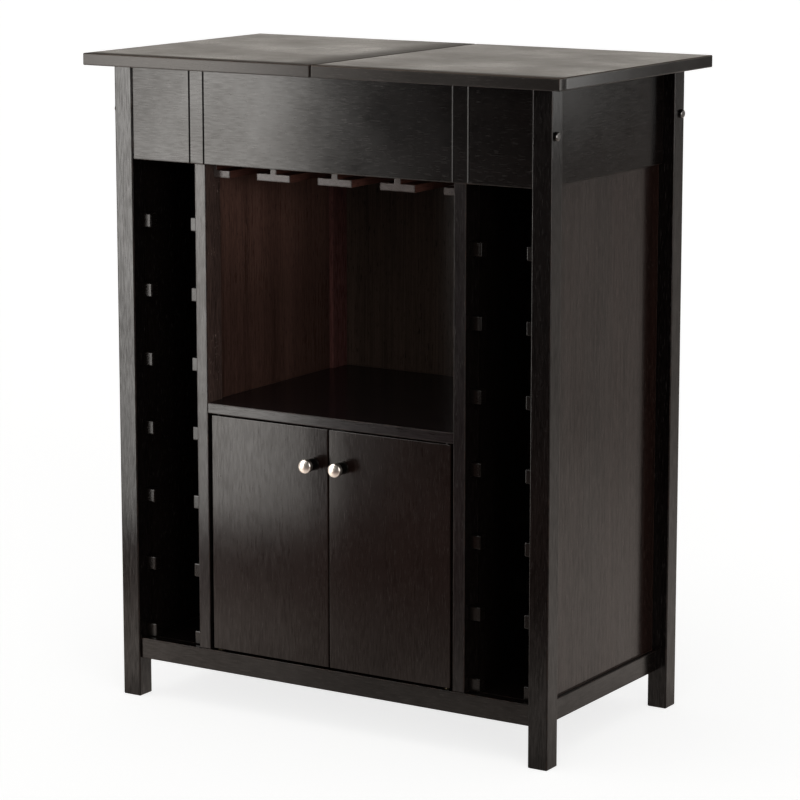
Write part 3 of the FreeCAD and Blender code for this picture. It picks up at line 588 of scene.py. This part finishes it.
def spinOutline(bm, outline, segments):
    verts = [bm.verts.new((radius, 0, along)) for radius, along in outline]
    edges = [bm.edges.new(pair) for pair in zip(verts, verts[1:])]
    bmesh.ops.spin(bm, geom=verts + edges, cent=(0, 0, 0), axis=(0, 0, 1), angle=math.tau, steps=segments,
                   use_merge=True)
    bmesh.ops.remove_doubles(bm, verts=bm.verts, dist=mergeReach)


def finishPiece(bm, name, material, sharpAngle):
    bmesh.ops.recalc_face_normals(bm, faces=bm.faces)
    for face in bm.faces:
        face.smooth = True
    mesh = bpy.data.meshes.new(name)
    bm.to_mesh(mesh)
    bm.free()
    mesh.set_sharp_from_angle(angle=math.radians(sharpAngle))
    mesh.materials.append(material)
    piece = bpy.data.objects.new(name, mesh)
    scene.collection.objects.link(piece)
    return piece


# Door knobs: a base collar, a straight neck, and a head with a rounded rim and a low dome

knobLook = {
    "bore": 0.0022,
    "boreDepth": 0.0102,
    "base": 0.00925,
    "baseHeight": 0.0025,
    "baseEase": 0.0005,
    "neck": 0.0085,
    "neckLength": 0.0165,
    "head": 0.010,
    "shoulder": 0.0012,
    "band": 0.0048,
    "rim": 0.0025,
    "rimTurn": 58.0,
    "dome": 0.0050,
    "sharpAngle": 38,
}
knobSteps = {"round": 72, "baseEase": 5, "shoulder": 6, "rim": 8, "dome": 12}


def knobOutline():
    look = knobLook
    bandTop = look["neckLength"] + look["shoulder"] + look["band"]
    outline = [(0.0, look["boreDepth"]), (look["bore"], look["boreDepth"]), (look["bore"], 0.0)]
    outline += [(look["base"], 0.0), (look["base"], look["baseHeight"] - look["baseEase"])]
    easeMiddle = (look["base"] - look["baseEase"], look["baseHeight"] - look["baseEase"])
    addArc(outline, easeMiddle, look["baseEase"], 0, 90, knobSteps["baseEase"])
    outline += [(look["neck"], look["baseHeight"]), (look["neck"], look["neckLength"])]
    outline.append((look["head"] - look["shoulder"], look["neckLength"]))
    shoulderMiddle = (look["head"] - look["shoulder"], look["neckLength"] + look["shoulder"])
    addArc(outline, shoulderMiddle, look["shoulder"], -90, 0, knobSteps["shoulder"])
    outline.append((look["head"], bandTop))
    rimMiddle = (look["head"] - look["rim"], bandTop)
    addArc(outline, rimMiddle, look["rim"], 0, look["rimTurn"], knobSteps["rim"])
    rimEnd = outline[-1]
    apex = bandTop + look["dome"]
    rise = apex - rimEnd[1]
    domeRadius = (rimEnd[0] ** 2 + rise ** 2) / (2 * rise)
    domeStart = math.degrees(math.asin(rimEnd[0] / domeRadius))
    addArc(outline, (0.0, apex - domeRadius), domeRadius, 90 - domeStart, 90, knobSteps["dome"])
    outline[-1] = (0.0, apex)  # exactly on the axis, so that the pole closes
    return outline


def makeKnob(side):
    low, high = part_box(f"{side}_knob")
    middle = (low + high) / 2
    bm = bmesh.new()
    spinOutline(bm, knobOutline(), knobSteps["round"])
    placement = Matrix.Translation((middle.x, high.y, middle.z)) @ Matrix.Rotation(quarterTurn, 4, "X")
    bmesh.ops.transform(bm, matrix=placement, verts=bm.verts)
    neckEnd = high.y - knobLook["neckLength"] - knobLook["shoulder"] / 2
    nickel = makeMetal("satin_nickel", f"{side}KnobNickel", neckEnd)
    knob = finishPiece(bm, f"{side}KnobTurned", nickel, knobLook["sharpAngle"])
    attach(knob, f"{side}_door")
    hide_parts(f"{side}_knob")


for side in ("left", "right"):
    makeKnob(side)
print("knobs turned")


# Camera at the photograph's viewing angle

cameraLook = {"place": (2.3523, -3.7461, 1.2971), "turn": 32.062, "dip": 10.181, "focalPixels": 3141.0,
              "pictureWidth": 800, "sensor": 36.0, "shift": -0.05, "clipEnd": 200}


def makeCamera():
    data = bpy.data.cameras.new("camera")
    data.sensor_width = cameraLook["sensor"]
    data.lens = cameraLook["focalPixels"] * cameraLook["sensor"] / cameraLook["pictureWidth"]
    data.shift_y = cameraLook["shift"]
    data.clip_end = cameraLook["clipEnd"]
    camera = bpy.data.objects.new("camera", data)
    camera.location = cameraLook["place"]
    camera.rotation_euler = (math.radians(90 - cameraLook["dip"]), 0, math.radians(cameraLook["turn"]))
    scene.collection.objects.link(camera)
    scene.camera = camera


makeCamera()
print("camera set")


# Floor: white to the eye, and it keeps the shadow. In reflections it is a warm studio floor,
# which is shaded beside the cabinet, lighter on the left, and brown and dim further to the front.

floorLook = {"half": 60.0, "paper": (1, 1, 1, 1), "colour": (0.45, 0.45, 0.445), "glow": 0.78,
             "nearTint": (1.0, 0.90, 0.83, 1), "frontTint": (0.15, 0.088, 0.075, 1),
             "frontStart": -0.30, "frontEnd": -1.0, "farStart": -1.4, "farEnd": -2.2, "farShare": 0.25,
             "dimStart": 0.9, "dimEnd": 2.7, "dimShare": 0.62,
             "lastStart": 5.5, "lastEnd": 10.0, "lastShare": 0.36, "shadeReach": 0.16, "shadeShare": 0.70,
             "spillStart": -0.58, "spillEnd": -0.05, "spillShare": 2.7}
roomLook = {"colour": (1.0, 1.0, 1.0, 1), "wall": (1.20, 1.135, 1.045, 1), "ambient": 0.28,
            "frontStart": -0.30, "frontEnd": 0.10, "frontShare": 0.22,
            "upStart": 0.06, "upEnd": 0.40, "upShare": 0.15}


def rayKinds(tree):
    rays = tree.nodes.new("ShaderNodeLightPath").outputs
    direct = addMath(tree, "MAXIMUM", rays["Is Camera Ray"], rays["Is Transmission Ray"])
    return direct, rays["Is Glossy Ray"]


def addSheet(name, corners, material):
    bm = bmesh.new()
    bm.faces.new([bm.verts.new(corner) for corner in corners])
    mesh = bpy.data.meshes.new(name)
    bm.to_mesh(mesh)
    bm.free()
    mesh.materials.append(material)
    sheet = bpy.data.objects.new(name, mesh)
    scene.collection.objects.link(sheet)
    return sheet


def bareMaterial(name):
    material = bpy.data.materials.new(name)
    material.use_nodes = True
    material.node_tree.nodes.clear()
    return material, material.node_tree


def floorMirror(tree):
    look = floorLook
    place = objectPlace(tree)
    split = addSplit(tree, place)
    front = addRange(tree, split["Y"], look["frontStart"], look["frontEnd"])
    tint = addMix(tree, front, look["nearTint"], look["frontTint"])
    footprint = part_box("front_right_leg")[1].x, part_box("rear_right_leg")[1].y, look["half"]
    outside = addVectorMath(tree, "SUBTRACT", addVectorMath(tree, "ABSOLUTE", place), footprint)
    beside = addVectorMath(tree, "LENGTH", addVectorMath(tree, "MAXIMUM", outside, (0, 0, 0)))
    away = addVectorMath(tree, "LENGTH", place)
    level = addRange(tree, away, look["dimStart"], look["dimEnd"], 1.0, look["dimShare"])
    last = addRange(tree, away, look["lastStart"], look["lastEnd"], 1.0, look["lastShare"])
    shade = addRange(tree, beside, 0.0, look["shadeReach"], look["shadeShare"], 1.0)
    spill = addRange(tree, split["X"], look["spillStart"], look["spillEnd"], look["spillShare"], 1.0)
    far = addRange(tree, split["Y"], look["farStart"], look["farEnd"], 1.0, look["farShare"])
    for share in (last, shade, spill, far):
        level = addMath(tree, "MULTIPLY", level, share)
    return addVectorMath(tree, "MULTIPLY", tint, level)


def makeFloor():
    material, tree = bareMaterial("floorPaper")
    look = floorLook
    mirror = floorMirror(tree)
    direct, glossy = rayKinds(tree)
    tint = addMix(tree, glossy, look["paper"], mirror)
    matte = tree.nodes.new("ShaderNodeBsdfDiffuse")
    feed(tree, matte.inputs["Color"], addVectorMath(tree, "MULTIPLY", look["colour"], tint))
    glow = tree.nodes.new("ShaderNodeEmission")
    feed(tree, glow.inputs["Color"], tint)
    feed(tree, glow.inputs["Strength"], addMath(tree, "MULTIPLY_ADD", direct, look["glow"], glossy))
    both = tree.nodes.new("ShaderNodeAddShader")
    feed(tree, both.inputs[0], matte.outputs[0])
    feed(tree, both.inputs[1], glow.outputs[0])
    out = tree.nodes.new("ShaderNodeOutputMaterial")
    feed(tree, out.inputs["Surface"], both.outputs[0])
    half = look["half"]
    addSheet("floor", [(-half, -half, 0), (half, -half, 0), (half, half, 0), (-half, half, 0)], material)


def makeRoom():
    world = bpy.data.worlds.new("studio")
    world.use_nodes = True
    tree = world.node_tree
    look = roomLook
    background = tree.nodes["Background"].inputs
    towards = addSplit(tree, tree.nodes.new("ShaderNodeTexCoord").outputs["Generated"])
    behind = addRange(tree, towards["Y"], look["frontStart"], look["frontEnd"], look["frontShare"], 1.0)
    below = addRange(tree, towards["Z"], look["upStart"], look["upEnd"], 1.0, look["upShare"])
    direct, glossy = rayKinds(tree)
    feed(tree, background["Color"], addMix(tree, glossy, look["colour"], look["wall"]))
    seen = addMath(tree, "MULTIPLY_ADD", glossy, addMath(tree, "MULTIPLY", behind, below), direct)
    unseen = addMath(tree, "SUBTRACT", 1.0, addMath(tree, "MAXIMUM", direct, glossy))
    feed(tree, background["Strength"], addMath(tree, "MULTIPLY_ADD", unseen, look["ambient"], seen))
    scene.world = world


makeFloor()
makeRoom()
print("floor and surroundings made")


# Studio light: a low key and a broad fill from the right, and a weak overhead

lamps = {
    "key": {"turn": 54.0, "height": 2.0, "spread": 25.0, "power": 0.8, "colour": (1.0, 0.96, 0.91)},
    "fill": {"turn": 36.0, "height": 2.0, "spread": 70.0, "power": 1.4, "colour": (1.0, 0.97, 0.93)},
    "overhead": {"turn": -20.0, "height": 75.0, "spread": 60.0, "power": 0.5, "colour": (1.0, 0.99, 0.97)},
}


def makeLamp(name):
    look = lamps[name]
    data = bpy.data.lights.new(name, "SUN")
    data.angle = math.radians(look["spread"])
    data.energy = look["power"]
    data.color = look["colour"]
    lamp = bpy.data.objects.new(name, data)
    lamp.rotation_euler = (math.radians(90 - look["height"]), 0, math.radians(look["turn"]))
    lamp.visible_glossy = False
    scene.collection.objects.link(lamp)


for name in lamps:
    makeLamp(name)


# Cards that the lacquer and the metal mirror: one at the left front and two along the right.
# Each stands on a line through its foot. Its light rises and falls along that line, and rises with height.

cards = {
    "leftCard": {"foot": (-0.53, -1.09), "along": (0.835, -0.550), "bottom": 0.058, "top": 1.8,
                 "rise": (-0.75, -0.27), "fall": (-0.18, -0.02), "colour": (1.0, 0.985, 0.96, 1),
                 "lowPower": 9.8, "highPower": 17.0, "heights": (0.05, 0.75)},
    "rightCard": {"foot": (1.6, 0.0), "along": (0.0, 1.0), "bottom": 0.48, "top": 1.4,
                  "rise": (1.1, 1.6), "fall": (1.95, 2.20), "colour": (1.0, 0.995, 0.98, 1),
                  "lowPower": 0.2, "highPower": 5.0, "heights": (0.57, 0.73)},
    "rimCard": {"foot": (1.6, 0.0), "along": (0.0, 1.0), "bottom": 0.20, "top": 1.4,
                "rise": (-1.3, -1.0), "fall": (0.2, 0.6), "colour": (1.0, 0.995, 0.98, 1),
                "lowPower": 1.0, "highPower": 9.0, "heights": (0.25, 0.80)},
}


def makeCard(name):
    material, tree = bareMaterial(name)
    look = cards[name]
    foot, along = Vector(look["foot"]), Vector(look["along"])
    place = addSplit(tree, objectPlace(tree))
    alongX = addMath(tree, "MULTIPLY", addMath(tree, "SUBTRACT", place["X"], foot.x), along.x)
    fromY = addMath(tree, "SUBTRACT", place["Y"], foot.y)
    reach = addMath(tree, "MULTIPLY_ADD", fromY, along.y, alongX)
    rising = addRange(tree, reach, *look["rise"])
    falling = addRange(tree, reach, *look["fall"], 1.0, 0.0)
    lit = addMath(tree, "MULTIPLY", rising, falling)
    power = addRange(tree, place["Z"], *look["heights"], look["lowPower"], look["highPower"])
    glow = tree.nodes.new("ShaderNodeEmission")
    glow.inputs["Color"].default_value = look["colour"]
    feed(tree, glow.inputs["Strength"], addMath(tree, "MULTIPLY", lit, power))
    out = tree.nodes.new("ShaderNodeOutputMaterial")
    feed(tree, out.inputs["Surface"], glow.outputs[0])
    near = foot + along * look["rise"][0]
    far = foot + along * look["fall"][1]
    low, high = look["bottom"], look["top"]
    corners = [(near.x, near.y, low), (far.x, far.y, low), (far.x, far.y, high), (near.x, near.y, high)]
    card = addSheet(name, corners, material)
    card.visible_camera = False
    card.visible_diffuse = False
    card.visible_shadow = False


for name in cards:
    makeCard(name)
print("studio light made")
